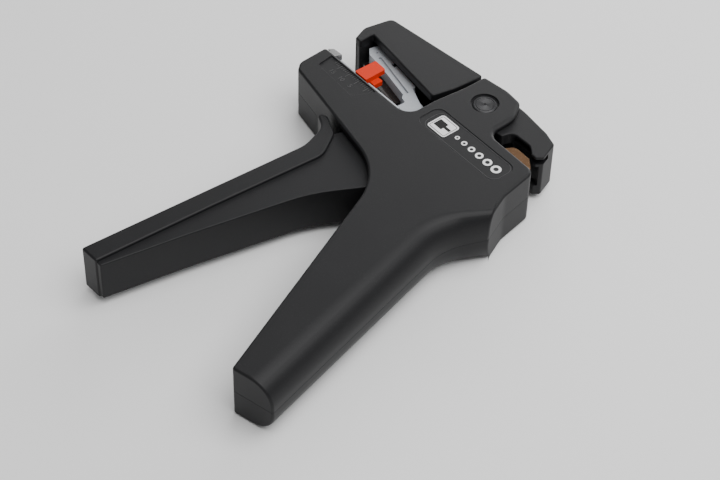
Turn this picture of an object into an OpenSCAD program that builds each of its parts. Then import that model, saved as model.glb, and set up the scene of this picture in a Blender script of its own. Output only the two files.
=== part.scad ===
// Self-adjusting pistol wire stripper: two-shell body, rocking jaw, trigger, blade carriage.
// Frame: origin on the rest face under the jaw pivot, +X to the rear, +Y up the tool, +Z along the pivot.

/* [Body] */
// Thickness of the body, side face to side face
body_t = 22; // [21:0.5:24]
// Wall thickness of the body shells
wall = 2.5; // [2:0.1:3]
// Wall thickness of the two cheeks that hold the pivot
cheek_wall = 1.7; // [1.4:0.1:1.8]
// Radius of the rounding along the back of the grip
grip_round = 9; // [5:0.5:9.5]
// Depth of the scale and label panels
panel_depth = 0.4; // [0.2:0.1:0.6]

/* [Pivot] */
// Diameter of the pivot pin
pin_d = 9; // [7:0.5:9]
// Running clearance between a pin and its bore, on the radius
run_gap = 0.05; // [0.02:0.01:0.1]
// Diameter of the recess round the end of the pin
pin_recess_d = 10.2; // [9.6:0.1:11]
// Depth of the pin's end below the side face
pin_sink = 0.4; // [0.2:0.1:0.8]

/* [Jaw] */
// Thickness of the side plates of the jaw cover
cover_wall = 3; // [2.4:0.2:3]
// Height of the top of the lower jaw, below the pivot
jaw_floor = -25.6; // [-26:0.1:-25]
// Thickness of each flank of the rocker between the cheeks
flank_t = 4.5; // [4:0.1:4.8]

/* [Trigger] */
// Width of the trigger ridge
trigger_w = 18; // [16:0.5:18]
// Step from the ridge down to the flat web
web_step = 1; // [0.6:0.1:1.5]
// Distance of the draw pin below the pivot
draw_reach = 40; // [39:0.5:41]
// Thickness of the drive lever
lever_t = 6.8; // [6:0.2:6.8]

/* [Carriage] */
// Thickness of the carriage and of the blade arm
carriage_t = 11; // [10:0.2:11]
// Thickness of a cheek of the blade arm's fork
lug_t = 1.7; // [1.4:0.1:1.8]
// Thickness of the stripping blades
blade_t = 2; // [1.5:0.1:3]

/* [Screws] */
// Diameter of the screw heads
head_d = 4.8; // [4:0.2:5]
// Diameter of the screw shanks
shank_d = 2.4; // [2:0.1:2.6]

/* [Hidden] */
$fn = 48;
mid = body_t / 2;
pin_r = pin_d / 2;
tiny = 0.01;
steps = 6;

charcoal = [0.10, 0.10, 0.11];
pale_grey = [0.66, 0.69, 0.72];
steel = [0.55, 0.56, 0.58];
dark_steel = [0.25, 0.25, 0.27];
brass = [0.72, 0.55, 0.32];
orange = [1.0, 0.27, 0.05];

// Places of the screws that join the shells, and of those that hold the jaw cover
shell_screw_at = [[-53.2, -37.2], [30, -20], [34, -48], [41.5, -95], [49, -132]];
cover_screw_at = [[-40, 1.8], [-21, 3.6]];
// Places of the pins that the moving parts turn on or carry
draw_pin_at = [-7, -draw_reach];
arm_pin_at = [-20, -17];
drawbar_rivet_at = [[-29, -38], [-22, -38.6]];
lever_rivet_at = [[-8.5, -53], [-12.5, -70]];
cutter_screw_at = [[20, -12.6], [28, -12.6]];
blade_screw_at = [[-46, -10.7], [-33, -12]];

// One corner [x, y, r] of an outline between its two neighbours, as the points of an arc
function unit(v) = v / norm(v);
function corner(a, b, c) =
    b[2] == 0 ? [[b[0], b[1]]] :
    let (p = [b[0], b[1]], u = unit([a[0], a[1]] - p), v = unit([c[0], c[1]] - p),
         half = acos(u * v) / 2, m = unit(u + v), o = p + m * b[2] / sin(half),
         s = (o - p) * u * u + p - o, e = (o - p) * v * v + p - o,
         n = max(2, ceil(steps * (180 - 2 * half) / 90) + 1))
    [for (i = [0 : n]) o + b[2] * unit(s * (n - i) / n + e * i / n)];

// A closed outline from corners that each have their own radius
function rounded(c) =
    [for (i = [0 : len(c) - 1]) each corner(c[(i + len(c) - 1) % len(c)], c[i], c[(i + 1) % len(c)])];

module plate(c, z0, z1) {
    translate([0, 0, z0]) linear_extrude(z1 - z0) polygon(rounded(c));
}

module rod(at, r, z0, z1) {
    translate([at[0], at[1], z0]) cylinder(h = z1 - z0, r = r);
}

module both_sides(gap) {
    children();
    translate([0, 0, body_t]) mirror([0, 0, 1]) children();
}

// Outline of the closed body, lower jaw, head and grip, where the rounding takes d off the grip's back
function body_corners(d) = [
    [-58.7, jaw_floor, 1], [-58.1, -38, 4], [-55.3, -41.1, 2], [3.9, -52, 27], [43.8, -144.3, 1.6],
    [59.4 - 0.97 * d, -140.2 - 0.25 * d, 3], [38.1 - d, -51.6, 25], [43.9 - 0.2 * d, -36.4 + 0.46 * d, 1.2],
    [39.2, -25.6, 12], [36.6, -9.8, 3.5], [12.7, -9.3, 4.5], [12.4, 3, 9], [7.4, 10.3, 2.5],
    [0, 11, 14], [-10.9, 9.5, 0.6], [-11, 0, 0], [-12.4, -13, 4], [-12.4, jaw_floor, 5.5]];

module body_section(d, inset) {
    offset(delta = -inset) polygon(rounded(body_corners(d)));
}

// Half of the body as a stack of layers that follow the rounding of the grip's back
module body_half() {
    layers = 6;
    flat = mid - grip_round;
    translate([0, 0, mid]) linear_extrude(flat) body_section(0, 0);
    for (i = [0 : layers - 1]) {
        a0 = 90 * i / layers;
        a1 = 90 * (i + 1) / layers;
        z0 = mid + flat + grip_round * sin(a0);
        z1 = mid + flat + grip_round * sin(a1);
        cut = grip_round * (1 - cos((a0 + a1) / 2));
        translate([0, 0, z0 - tiny]) linear_extrude(z1 - z0 + tiny) body_section(cut, 0);
    }
}

// The hollow of the body and every opening in its rim, for the half above the split plane
module body_hollow() {
    translate([0, 0, mid - 1]) linear_extrude(body_t - wall - mid + 1)
        difference() {
            body_section(grip_round * 0.35, wall);
            translate([35.5, -24]) square([20, 12]);
        }
    // between the cheeks and out of the front of the head
    plate([[-14, 14, 0], [-14, -10.5, 0], [13.2, -10.5, 0], [17, 14, 0]], mid - 1, body_t - cheek_wall);
    plate([[-20, -8, 0], [-20, jaw_floor - 4, 0], [-5, jaw_floor - 4, 0], [-5, -8, 0]],
          mid - 1, body_t - wall);
    // lower jaw, open along its top
    plate([[-53.4, -20, 0], [-53.4, -30, 0], [-12, -30, 0], [-12, -20, 0]], mid - 1, body_t - wall);
    // slot that the trigger moves in
    plate([[-23, -40, 0], [-24, -58, 0], [0, -66, 0], [12, -84, 0], [20, -112, 0], [33, -107, 8],
           [24, -76, 8], [16, -55, 0], [16, -40, 0]], mid - 1, body_t - wall);
    // slot that the cutter rises through
    plate([[12, -6, 0], [12, -14, 0], [34.2, -14, 0], [34.2, -6, 0]], mid - 1, body_t - 2.8);
}

module shell_side(bore_r) {
    difference() {
        body_half();
        difference() {
            body_hollow();
            for (p = shell_screw_at) rod(p, 3.4, mid, body_t);
        }
        rod([0, 0], bore_r, mid, body_t + 1);
    }
}

// Clearance pocket for the lower clamp jaw in the top of the nose
module nose_pocket() {
    plate([[-57.2, -20, 0], [-57.2, -30.1, 0], [-53.3, -30.1, 0], [-53.3, -20, 0]], 0.9, body_t - 0.9);
    plate([[-60, -20, 0], [-60, -24.9, 0], [-50, -24.9, 0], [-50, -20, 0]], 0.9, body_t - 0.9);
}

module right_shell() {
    color(charcoal) difference() {
        shell_side(pin_r);
        nose_pocket();
        for (p = shell_screw_at) rod(p, shank_d / 2 + 0.05, mid - 1, body_t - wall + 0.6);
        rod([0, 0], pin_recess_d / 2, body_t - 0.7, body_t + 1);
        // scale panel and label panel
        plate([[-53.8, -26.7, 0.3], [-52.8, -33.6, 0.6], [-32.4, -34.9, 1.5], [-28.5, -26.7, 0.3]],
              body_t - panel_depth, body_t + 1);
        plate([[-8.6, -13.8, 3.2], [-8.6, -24.8, 3.2], [32, -24.8, 3.2], [32, -13.8, 3.2]],
              body_t - panel_depth / 2, body_t + 1);
    }
}

module left_shell() {
    color(charcoal) difference() {
        translate([0, 0, body_t]) mirror([0, 0, 1]) shell_side(pin_r);
        nose_pocket();
        for (p = shell_screw_at) {
            rod(p, shank_d / 2 + 0.2, -1, mid + 1);
            rod(p, head_d / 2 + 0.1, -1, 2.6);
        }
    }
}

module pivot_pin() {
    color(dark_steel) difference() {
        rod([0, 0], pin_r, 0, body_t - pin_sink);
        rod([0, 0], 1.4, body_t - pin_sink - 0.6, body_t);
    }
}

module thrust_washers() {
    color(steel) both_sides()
        difference() {
            rod([0, 0], 7, 6.7, 7.4);
            rod([0, 0], pin_r + run_gap, 6, 8);
        }
}

module screw(at, z_head, length) {
    difference() {
        union() {
            rod(at, head_d / 2, z_head, z_head + 1.8);
            rod(at, shank_d / 2, z_head + 1.8 - tiny, z_head + length);
        }
        for (a = [0, 90]) translate([at[0], at[1], z_head]) rotate(a)
            cube([2.6, 0.6, 1.8], center = true);
    }
}

module shell_screws() {
    color(steel) for (p = shell_screw_at) screw(p, 0.8, 18.4);
}

module lower_clamp_jaw() {
    color(pale_grey) plate([[-58.5, -24.8, 0.2], [-57, -22.9, 0.5], [-52.5, -22.7, 0.2], [-53.5, -24.8, 0],
                            [-53.6, -30, 0.2], [-57, -30, 0.2], [-57, -24.8, 0]], 1, body_t - 1);
}

// Rail of the length stop, against the inner face of the right shell
module stop_rail() {
    color(pale_grey) plate([[-52, -23.6, 0.3], [-52, -29, 0.3], [-19, -29, 0.3], [-19, -23.6, 0.3]],
                           18.8, body_t - wall);
}

module spring_seat() {
    color(steel) translate([35.6, -30, mid]) rotate([0, 90, 0]) {
        cylinder(h = 1.4, r = 4);
        translate([0, 0, -3]) cylinder(h = 3.2, r = 2.2);
    }
}

// One coil spring along X, as a chain of rings joined by a round wire's pitch
spring_from = 6.4;
spring_to = 35.6;
spring_turns = 9;
spring_wire = 1.1;
spring_r = 3.4;
module return_spring() {
    pitch = (spring_to - spring_from - spring_wire) / spring_turns;
    n = 16;
    sides = 8;
    count = spring_turns * n;
    points = [for (i = [0 : count]) let (a = 360 * i / n, x = spring_from + spring_wire / 2 + pitch * i / n)
              for (k = [0 : sides - 1]) let (b = 360 * k / sides, q = spring_r + spring_wire / 2 * cos(b))
              [x + spring_wire / 2 * sin(b), -30 + q * cos(a), mid + q * sin(a)]];
    faces = concat([[for (k = [0 : sides - 1]) sides - 1 - k]],
                   [for (i = [0 : count - 1], k = [0 : sides - 1])
                    let (k2 = (k + 1) % sides) [i * sides + k, i * sides + k2,
                                                (i + 1) * sides + k2, (i + 1) * sides + k]],
                   [[for (k = [0 : sides - 1]) count * sides + k]]);
    color(steel) polyhedron(points, faces, convexity = 20);
}

// Cover of the upper jaw: a hood with two side plates, a roof and a front wall
cover_side = [[-56.4, 4, 2.6], [-11.5, 9.3, 0.6], [-12.6, -3, 0], [-14.7, -12.2, 1.2], [-53.7, -7.3, 0.6],
              [-53.4, -13.6, 0.5], [-56.3, -13.6, 0.6], [-58.7, -7.4, 4]];
module jaw_cover() {
    color(charcoal) difference() {
        union() {
            plate(cover_side, 0, cover_wall);
            plate(cover_side, body_t - cover_wall, body_t);
            difference() {
                plate(cover_side, tiny, body_t - tiny);
                plate([[-56.2, 1.2, 1], [-8, 7, 0], [-8, -20, 0], [-56.2, -20, 0]], cover_wall,
                      body_t - cover_wall);
            }
        }
        for (p = cover_screw_at) {
            rod(p, shank_d / 2 + 0.1, -1, cover_wall + 1);
            rod(p, head_d / 2 + 0.1, -1, 2.2);
            rod(p, shank_d / 2, body_t - cover_wall - 1, body_t - 1);
        }
    }
}

// Side view of the rocker behind the cover: hub, hook and cutting notch
rocker_side = [[-11.2, 8.2, 1], [0, 10.2, 16], [11, 9.9, 4], [23.5, 8.4, 3], [29.4, 6.6, 1.4],
               [32.1, -0.9, 0.8], [30.3, -3.3, 0.8], [28.2, -3.2, 0.8], [24.8, -0.6, 4],
               [15.8, -0.9, 3], [15, -5.2, 1.2], [8.6, -6, 1.5], [4.5, -8.2, 3], [-4.5, -8.2, 5],
               [-8.5, -4.5, 3], [-11.2, -1.2, 0.5]];
module rocker_frame() {
    color(charcoal) difference() {
        union() {
            plate(rocker_side, 2, 20);
            both_sides() plate([[-50, -1, 1], [-50, 1.2, 1], [-10.4, 5.4, 0], [-10.4, -1, 0]],
                               3.3, 2 + flank_t);
        }
        // room for the drive lever and its cutter arm
        rod([0, 0], 9, 2 + flank_t, 20 - flank_t);
        plate([[-20, 12, 0], [-20, -12, 0], [0, -12, 0], [0, 12, 0]], 2 + flank_t, 20 - flank_t);
        plate([[0, -20, 0], [40, -20, 0], [40, -2.5, 0], [9.4, -0.8, 0], [0, 0, 0]], 2 + flank_t, 20 - flank_t);
        // slot for the blade in the hook
        plate([[17, -10, 0], [40, -10, 0], [40, 2.4, 0], [17, 2.4, 0]], 16.7, 19);
        rod([0, 0], 5.6, 1, 21);
        for (p = cover_screw_at) rod(p, shank_d / 2 + 0.1, 1, 21);
    }
}

module rocker_bushes() {
    color(brass) both_sides() difference() {
        rod([0, 0], 5.6, 2, 2 + flank_t);
        rod([0, 0], pin_r + run_gap, 1, 8);
    }
}

module upper_clamp_jaw() {
    color(steel) plate([[-56.1, -7, 0.2], [-53.9, -7, 0.2], [-53.9, -13.4, 0.4], [-56.1, -13.4, 0.4]],
                       cover_wall + 0.1, body_t - cover_wall - 0.1);
}

module cover_screws() {
    color(steel) for (p = cover_screw_at) screw(p, 0.4, 20.4);
}

// Trigger: a wide ridge along the front, a flat web behind it
ridge_side = [[-35.4, -48.4, 0.8], [-31, -46.7, 2], [-22.5, -50.2, 6], [-16.3, -60, 9], [-19.6, -105, 60],
              [-22.3, -150.8, 0.8], [-30.2, -151.2, 0.8], [-26.8, -100, 90], [-24.2, -62, 14], [-27.6, -51.8, 7]];
web_side = [[-21.6, -45.6, 0.5], [0.6, -45.6, 1], [5, -57.5, 2], [-4.6, -75, 60], [-14.5, -120, 90],
            [-20.3, -150.4, 0.6], [-23, -150.4, 0], [-20.5, -105, 60], [-18.5, -62, 9], [-24, -52, 0]];
module trigger_grip() {
    ridge_z = (body_t - trigger_w) / 2;
    color(charcoal) difference() {
        union() {
            plate(ridge_side, ridge_z, body_t - ridge_z);
            plate(web_side, ridge_z + web_step, body_t - ridge_z - web_step);
        }
        // pocket for the drive lever
        plate([[-15, -40, 0], [-19, -78.2, 0], [-8, -78.2, 0], [1.4, -47, 0], [4, -40, 0]],
              mid - lever_t / 2 - 0.05, mid + lever_t / 2 + 0.05);
        for (p = lever_rivet_at) rod(p, 1.6, 3.5, 18.5);
    }
}

lever_side = [[-5.6, 7, 5], [6, 7, 5], [9, -8.5, 3], [31.5, -8.4, 1], [32, -13.6, 2], [24, -15.2, 3],
              [9, -15.8, 5], [3.5, -35, 5], [0.5, -47, 5], [-8.6, -78, 1.5], [-18, -78, 1.5], [-13.4, -45, 5],
              [-11.8, -36, 5], [-5, -20, 8], [-7.8, -4, 5]];
module drive_lever() {
    color(steel) difference() {
        union() {
            plate(lever_side, mid - lever_t / 2, mid + lever_t / 2);
            // side step that carries the cutter blade
            plate([[17.5, -10.2, 0.6], [31.3, -10.2, 0.6], [31.3, -14.2, 0.6], [17.5, -14.8, 0.6]],
                  mid + lever_t / 2 - tiny, 16.9);
        }
        rod([0, 0], pin_r + run_gap, 0, body_t);
        rod(draw_pin_at, 2.5, 0, body_t);
        for (p = lever_rivet_at) rod(p, 1.6, 0, body_t);
        for (p = cutter_screw_at) rod(p, 1, 12, body_t);
    }
}

module lever_rivets() {
    color(steel) for (p = lever_rivet_at) rod(p, 1.6, 3.5, 18.5);
}

module draw_pin() {
    color(steel) rod(draw_pin_at, 2.5, 3.2, 18.8);
}

module cutter_blade() {
    color(brass) difference() {
        plate([[17.6, -14.6, 0.4], [17.6, -10, 0.4], [20.8, -4.9, 0.4], [22.4, -4.2, 0.4], [28.6, -4.4, 0.3],
               [32, -7, 0.4], [32, -11, 0.6], [31, -14.4, 0.6]], 16.9, 18.7);
        for (p = cutter_screw_at) rod(p, 1, 16, 20);
    }
}

module cutter_screws() {
    color(steel) for (p = cutter_screw_at) {
        rod(p, 1, 12, 18.7);
        rod(p, 1.7, 18.7, 19.1);
    }
}

// Blade carriage: lower arm, block and a tongue for the fork of the blade arm
carriage_z = mid - carriage_t / 2;
tongue_z = carriage_z + lug_t + 0.3;
module blade_carriage() {
    color(pale_grey) difference() {
        union() {
            plate([[-51.8, -23, 0.6], [-26, -23, 0], [-26, -22, 0], [-15, -22, 0.5], [-15, -34, 1.5], [-36, -34, 2],
                   [-51.8, -29, 1]], carriage_z, body_t - carriage_z);
            plate([[-32, -33, 0], [-18.5, -33, 0], [-18.5, -41, 1], [-32, -40, 1]], carriage_z, body_t - carriage_z);
            // tongue that the arms' fork turns on
            plate([[-24.3, -17, 0], [-24.3, -30, 0], [-15.6, -30, 0], [-15.6, -17, 0]], tongue_z, body_t - tongue_z);
            rod(arm_pin_at, 4.4, tongue_z, body_t - tongue_z);
        }
        rod(arm_pin_at, 1.8, 0, body_t);
        for (p = drawbar_rivet_at) rod(p, 1.5, 0, body_t);
        // seat of the lower blade
        plate([[-60, -20, 0], [-60, -27, 0], [-44, -27, 0], [-44, -20, 0]], mid - blade_t / 2, mid + blade_t / 2);
    }
}

module lower_blade() {
    color(dark_steel) plate([[-51.6, -22.2, 0.3], [-51.6, -26.9, 0.2], [-44.1, -26.9, 0.2], [-44.1, -23.6, 0.3],
                             [-48, -22.4, 0.4]], mid - blade_t / 2, mid + blade_t / 2);
}

module arm_pin() {
    color(steel) rod(arm_pin_at, 1.8, pin_z + 0.05, body_t - pin_z - 0.05);
}

drawbar_t = 1.6;
draw_slot_r = 2.75;
module drawbar() {
    color(steel) both_sides() difference() {
        plate([[-32, -36.4, 1], [-12, -36, 3], [-2, -36, 3], [-2, -44.2, 3], [-12, -44.2, 3], [-32, -41, 1]],
              carriage_z - drawbar_t - 0.05, carriage_z - 0.05);
        for (p = drawbar_rivet_at) rod(p, 1.5, 0, 8);
        // upright slot for the draw pin
        for (dy = [-0.7, 0.1]) rod([draw_pin_at[0], draw_pin_at[1] + dy], draw_slot_r, 0, 8);
        translate([draw_pin_at[0] - draw_slot_r, draw_pin_at[1] - 0.7, 0]) cube([2 * draw_slot_r, 0.8, 8]);
    }
}

module drawbar_rivets() {
    color(steel) for (p = drawbar_rivet_at) rod(p, 1.5, 3.4, 18.6);
}

// Blade arm: the upper of the two blade carriers, hinged on the tongue by its fork
arm_side = [[-52.5, -5.9, 0.6], [-53.3, -9.3, 0.6], [-50.6, -11.4, 1], [-40.8, -12.8, 0], [-26.4, -15.8, 0],
            [-26.4, -9.6, 0.6], [-41, -7.4, 6]];
pin_z = carriage_z + 0.5;
module blade_arm() {
    color(pale_grey) difference() {
        union() {
            plate(arm_side, carriage_z, body_t - carriage_z);
            both_sides() plate([[-28, -10.3, 0], [-17.2, -14.7, 1], [-15.2, -17.2, 1.5], [-15.4, -21.6, 2.5],
                                [-22.2, -21.6, 1], [-22.6, -17.9, 0.4], [-25, -17.3, 0.4], [-28, -13.4, 0]],
                               carriage_z, carriage_z + lug_t);
        }
        rod(arm_pin_at, 1.8 + run_gap, pin_z, body_t - pin_z);
        plate([[-60, -9, 0], [-60, -20, 0], [-27.6, -20, 0], [-27.6, -9, 0]], mid - blade_t / 2, mid + blade_t / 2);
        // long groove along the visible flank
        both_sides() plate([[-47.2, -10.1, 0], [-25.6, -14.8, 0], [-25.6, -13.6, 0], [-47, -8.9, 0]], 5, 6.5);
        both_sides() rod([-49.7, -8.5], 0.45, 5, 6.5);
        // small notch in the back
        plate([[-41.2, -8.7, 0.3], [-39.5, -8.9, 0.3], [-39.4, -5, 0], [-41.3, -5, 0]], 0, body_t);
    }
}

module upper_blade() {
    color(dark_steel) difference() {
        plate([[-51.6, -9.1, 0.2], [-51.8, -13.2, 0.3], [-48, -14, 0.4], [-30, -17.6, 1], [-27.8, -18.6, 0.6],
               [-27.8, -13, 0.2], [-40, -9.1, 0]], mid - blade_t / 2, mid + blade_t / 2);
        for (p = blade_screw_at) rod(p, 1, 0, body_t);
    }
}

module blade_screws() {
    color(steel) for (p = blade_screw_at) rod(p, 1, mid - 1, mid + 1);
}

// Length stop: a coloured tab that rides on its rail
stop_x = -38.9;
stop_w = 6.2;
stop_z = body_t - 0.2;
module length_stop() {
    color(orange) translate([stop_x, 0, 0]) {
        plate([[-stop_w / 2 + 0.2, -15.9, 0.5], [stop_w / 2 - 0.2, -16.1, 0.5], [stop_w / 2, -25.3, 0.2],
               [-stop_w / 2, -25.3, 0.2]], stop_z - 2, stop_z);
        // foot over the rail, and the leg inside it
        plate([[0, -19.4, 0.4], [5.5, -19.4, 0.4], [5.5, -23.4, 0], [0, -23.4, 0]], 18, stop_z - 2 + tiny);
        plate([[0, -23.4 + tiny, 0], [5.5, -23.4 + tiny, 0], [5.5, -28, 0.3], [0, -28, 0.3]], 18, 18.6);
    }
}

module stop_spring() {
    color(steel) translate([stop_x + 2.7, 0, 0])
        plate([[-2.4, -28.2, 0], [0, -29.6, 2], [2.4, -28.2, 0], [2.4, -28.6, 0], [0, -30, 2], [-2.4, -28.6, 0]],
              18, 18.6);
}

right_shell();
left_shell();
pivot_pin();
thrust_washers();
shell_screws();
lower_clamp_jaw();
stop_rail();
spring_seat();
return_spring();
jaw_cover();
rocker_frame();
upper_clamp_jaw();
cover_screws();
rocker_bushes();
trigger_grip();
drive_lever();
lever_rivets();
draw_pin();
cutter_blade();
cutter_screws();
blade_carriage();
drawbar();
drawbar_rivets();
lower_blade();
arm_pin();
blade_arm();
upper_blade();
blade_screws();
length_stop();
stop_spring();
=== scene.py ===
"""Pistol-type wire stripper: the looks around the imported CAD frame.

Every length in the classes below is in millimetres, in the frame's own axes: +X to the rear of
the tool, +Y up to its head, +Z out of the side with the scale. `MM` turns them into metres.
"""

import logging
import math
from dataclasses import dataclass, field
from enum import Enum

import bmesh
import bpy
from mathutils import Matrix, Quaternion, Vector


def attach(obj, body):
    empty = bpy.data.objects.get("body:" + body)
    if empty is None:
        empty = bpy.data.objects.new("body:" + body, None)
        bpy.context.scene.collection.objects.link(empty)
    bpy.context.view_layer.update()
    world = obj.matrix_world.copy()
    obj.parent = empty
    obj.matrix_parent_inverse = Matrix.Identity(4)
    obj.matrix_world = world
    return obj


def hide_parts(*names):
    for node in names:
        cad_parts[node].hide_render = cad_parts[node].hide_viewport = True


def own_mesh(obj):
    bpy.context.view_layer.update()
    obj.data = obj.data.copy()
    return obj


logging.basicConfig(level=logging.INFO, format="%(message)s")
log = logging.getLogger("wire_stripper")

MM = 0.001
Point = tuple[float, float]

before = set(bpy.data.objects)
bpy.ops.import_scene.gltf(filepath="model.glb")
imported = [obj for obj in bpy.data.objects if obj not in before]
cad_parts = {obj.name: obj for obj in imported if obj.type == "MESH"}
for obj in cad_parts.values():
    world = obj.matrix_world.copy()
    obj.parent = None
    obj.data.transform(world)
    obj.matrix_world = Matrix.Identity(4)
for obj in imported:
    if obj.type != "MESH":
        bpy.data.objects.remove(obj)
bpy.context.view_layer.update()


# ---------------------------------------------------------------- outlines


@dataclass(frozen=True)
class Corner:
    """One corner of an outline, with the radius that rounds it.

    `crisp` is the share of the small edge rounding that the side after this corner gets, and `slide`
    is how far the corner moves for each millimetre that a large rounding takes off.
    """

    x: float
    y: float
    r: float = 0.0
    crisp: float = 1.0
    slide: Point = (0.0, 0.0)

    def moved(self, depth: float) -> "Corner":
        """The corner where the large rounding takes a depth off."""
        return Corner(self.x + self.slide[0] * depth, self.y + self.slide[1] * depth, self.r, self.crisp)


def arc_steps(corners: list[Corner], step: float) -> list[int]:
    """Number of steps in the arc at each corner, for a largest turn in degrees."""
    counts = []
    for before, c, after in zip(corners[-1:] + corners[:-1], corners, corners[1:] + corners[:1]):
        u = Vector((before.x - c.x, before.y - c.y))
        v = Vector((after.x - c.x, after.y - c.y))
        turn = 180 - math.degrees(u.angle(v))
        counts.append(max(2, math.ceil(turn / step)) if c.r else 0)
    return counts


def rounded(corners: list[Corner], step: float = 7.5, counts: list[int] | None = None) -> list[Point]:
    """Turn corners with radii into the points of a closed outline.

    Args:
        corners: the corners in order.
        step: the largest turn between two points of an arc, in degrees.
        counts: the steps in each arc, where they're fixed beforehand.

    Returns:
        The outline's points, in the same order.
    """
    points: list[Point] = []
    for i, (c, count) in enumerate(zip(corners, counts or arc_steps(corners, step))):
        here = Vector((c.x, c.y))
        if not count:
            points.append((c.x, c.y))
            continue
        before, after = corners[i - 1], corners[(i + 1) % len(corners)]
        u = (Vector((before.x, before.y)) - here).normalized()
        v = (Vector((after.x, after.y)) - here).normalized()
        half = math.acos(max(-1.0, min(1.0, u.dot(v)))) / 2
        centre = here + (u + v).normalized() * c.r / math.sin(half)
        start = here + u * c.r / math.tan(half) - centre
        end = here + v * c.r / math.tan(half) - centre
        turn = math.pi - 2 * half
        for k in range(count + 1):
            t = k / count
            a = math.sin((1 - t) * turn) / math.sin(turn)
            b = math.sin(t * turn) / math.sin(turn)
            p = centre + start * a + end * b
            points.append((p.x, p.y))
    return points


def box_corners(x0: float, y0: float, x1: float, y1: float, r: float = 0.0) -> list[Corner]:
    """Corners of an upright rectangle, all with one radius."""
    return [Corner(x0, y0, r), Corner(x1, y0, r), Corner(x1, y1, r), Corner(x0, y1, r)]


def signed_area(points: list[Point]) -> float:
    """Area of an outline, positive when it runs anticlockwise."""
    return sum(a[0] * b[1] - b[0] * a[1] for a, b in zip(points, points[1:] + points[:1])) / 2


def inward(points: list[Point]) -> list[Vector]:
    """Inward normals at the points of a closed outline, lengthened so that an inset keeps its distance."""
    way = 1 if signed_area(points) > 0 else -1
    normals = []
    for a, p, b in zip(points[-1:] + points[:-1], points, points[1:] + points[:1]):
        u = (Vector(p) - Vector(a)).normalized()
        v = (Vector(b) - Vector(p)).normalized()
        n = Vector((-(u + v).y, (u + v).x)).normalized() * way
        normals.append(n / max(0.5, n.dot(Vector((-u.y, u.x)) * way)))
    return normals


# ---------------------------------------------------------------- mesh work


def select_only(obj: bpy.types.Object) -> None:
    """Leave object mode's selection with this one object, active."""
    if bpy.context.object and bpy.context.object.mode != "OBJECT":
        bpy.ops.object.mode_set(mode="OBJECT")
    bpy.ops.object.select_all(action="DESELECT")
    obj.select_set(True)
    bpy.context.view_layer.objects.active = obj


def ring(name: str, points: list[Point], z: float, filled: bool) -> bpy.types.Object:
    """Add a circle primitive and lay its vertices on an outline.

    Args:
        name: the new object's name.
        points: the outline, in millimetres.
        z: the height of the outline.
        filled: whether the outline gets a face.

    Returns:
        The new object, with its place in its mesh.
    """
    bpy.ops.object.select_all(action="DESELECT")
    bpy.ops.mesh.primitive_circle_add(vertices=len(points), radius=1.0,
                                      fill_type="NGON" if filled else "NOTHING")
    obj = bpy.context.object
    obj.name = name
    order = points if signed_area(points) > 0 else points[::-1]
    for vertex, (x, y) in zip(obj.data.vertices, order):
        vertex.co = (x * MM, y * MM, z * MM)
    return obj


def prism(name: str, points: list[Point], z0: float, z1: float) -> bpy.types.Object:
    """Extrude an outline along Z into a closed solid."""
    obj = ring(name, points, z0, True)
    bpy.ops.object.mode_set(mode="EDIT")
    bpy.ops.mesh.select_all(action="SELECT")
    bpy.ops.mesh.extrude_region_move(TRANSFORM_OT_translate={"value": (0, 0, (z1 - z0) * MM)})
    bpy.ops.mesh.select_all(action="SELECT")
    bpy.ops.mesh.normals_make_consistent(inside=False)
    bpy.ops.object.mode_set(mode="OBJECT")
    return obj


def drum(name: str, centre: Point, radius: float, z0: float, z1: float,
         sides: int = 64) -> bpy.types.Object:
    """A round solid along Z."""
    bpy.ops.object.select_all(action="DESELECT")
    bpy.ops.mesh.primitive_cylinder_add(
        vertices=sides, radius=radius * MM, depth=(z1 - z0) * MM,
        location=(centre[0] * MM, centre[1] * MM, (z0 + z1) / 2 * MM))
    obj = bpy.context.object
    obj.name = name
    bpy.ops.object.transform_apply(location=True, rotation=True, scale=True)
    return obj


def use_modifier(obj: bpy.types.Object, kind: str, **settings: object) -> None:
    """Add one modifier with these settings and apply it."""
    select_only(obj)
    modifier = obj.modifiers.new(kind.lower(), kind)
    for key, value in settings.items():
        setattr(modifier, key, value)
    bpy.ops.object.modifier_apply(modifier=modifier.name)


def bevel(obj: bpy.types.Object, width: float, segments: int = 3, angle: float = 35,
          clamp: bool = True) -> None:
    """Round every edge sharper than an angle.

    Args:
        obj: the piece.
        width: how far the rounding reaches, in millimetres.
        segments: steps across the rounding.
        angle: the smallest turn that is rounded, in degrees.
        clamp: whether the shortest edge may hold the width back.
    """
    use_modifier(obj, "BEVEL", width=width * MM, segments=segments, limit_method="ANGLE",
                 angle_limit=math.radians(angle), use_clamp_overlap=clamp, miter_outer="MITER_ARC")


def cut(obj: bpy.types.Object, *cutters: bpy.types.Object) -> None:
    """Take the cutters out of a piece and delete them."""
    for cutter in cutters:
        use_modifier(obj, "BOOLEAN", object=cutter, operation="DIFFERENCE", solver="EXACT")
        bpy.data.objects.remove(cutter)


def add(obj: bpy.types.Object, *others: bpy.types.Object) -> None:
    """Unite other solids with a piece and delete them."""
    for other in others:
        use_modifier(obj, "BOOLEAN", object=other, operation="UNION", solver="EXACT")
        bpy.data.objects.remove(other)


def join(obj: bpy.types.Object, *others: bpy.types.Object) -> bpy.types.Object:
    """Join loose solids into one object without uniting them."""
    select_only(obj)
    for other in others:
        other.select_set(True)
    bpy.ops.object.join()
    return obj


def weld(obj: bpy.types.Object, distance: float = 0.002) -> None:
    """Merge vertices closer than a distance in millimetres."""
    select_only(obj)
    bpy.ops.object.mode_set(mode="EDIT")
    bpy.ops.mesh.select_all(action="SELECT")
    bpy.ops.mesh.remove_doubles(threshold=distance * MM)
    bpy.ops.object.mode_set(mode="OBJECT")


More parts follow.
